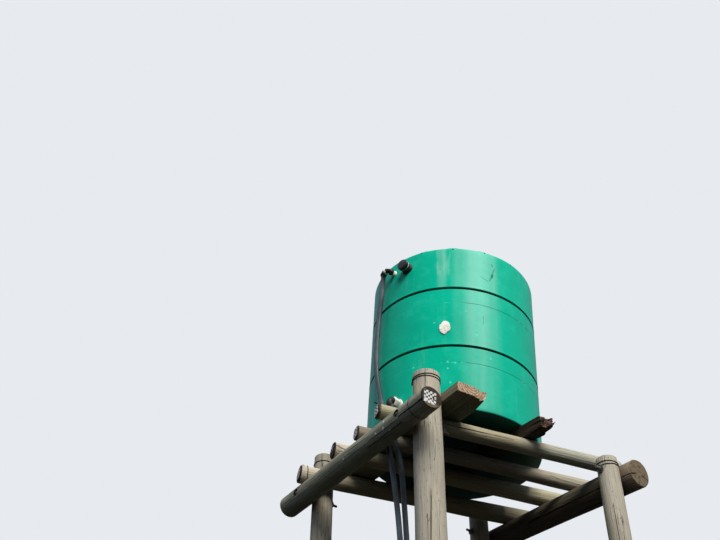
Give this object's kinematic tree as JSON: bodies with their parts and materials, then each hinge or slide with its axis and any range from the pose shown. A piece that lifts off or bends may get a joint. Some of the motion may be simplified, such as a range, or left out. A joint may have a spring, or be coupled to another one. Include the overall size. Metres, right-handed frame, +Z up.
{
  "type": "water tower",
  "caption": "Moulded plastic water tank with ribbed domed roof and lid, standing on planks over a tall frame of bolted round timber poles, with feed and outlet pipes down to the ground.",
  "frame": {"origin": "middle of the part's footprint box, on the ground under the feet", "axes": "+Z up, -Y towards the side with the tall near post, +X along the joists"},
  "size_m": [1.9034, 1.559, 6.3562],
  "materials": {
    "pole": "weathered bare timber, grey brown, fine long checks",
    "plank": "rough sawn, dark below, worn at the ends",
    "tank": "rotomoulded, slightly satin, faded by sun",
    "fitting": "black pipe and fittings, dusty",
    "nut": "off-white, a little dirty",
    "steel": "zinc plated, dulled",
    "wire": "dark annealed wire"
  },
  "bodies": {
    "root": {"beam_left": "pole", "beam_right": "pole", "bolt_back": "steel", "bolt_left": "steel", "bolt_near": "steel", "bolt_right": "steel", "inlet_elbow": "fitting", "inlet_nut": "nut", "joist_1": "pole", "joist_2": "pole", "joist_3": "pole", "joist_4": "pole", "manhole_lid": "tank", "outlet_elbow": "fitting", "outlet_nut": "nut", "outlet_pipe": "fitting", "overflow_cap": "fitting", "overflow_spout": "fitting", "plank_left": "plank", "plank_right": "plank", "plate_beam_left": "steel", "plate_joist_1": "steel", "plate_joist_2": "steel", "plate_joist_3": "steel", "plate_joist_4": "steel", "post_back": "pole", "post_left": "pole", "post_near": "pole", "post_right": "pole", "riser_pipe": "fitting", "tank_floor": "tank", "tank_roof": "tank", "tank_wall": "tank", "wire_beam_left": "wire", "wire_post_left": "wire", "wire_post_near": "wire", "wire_post_right": "wire"}
  },
  "joints": []
}
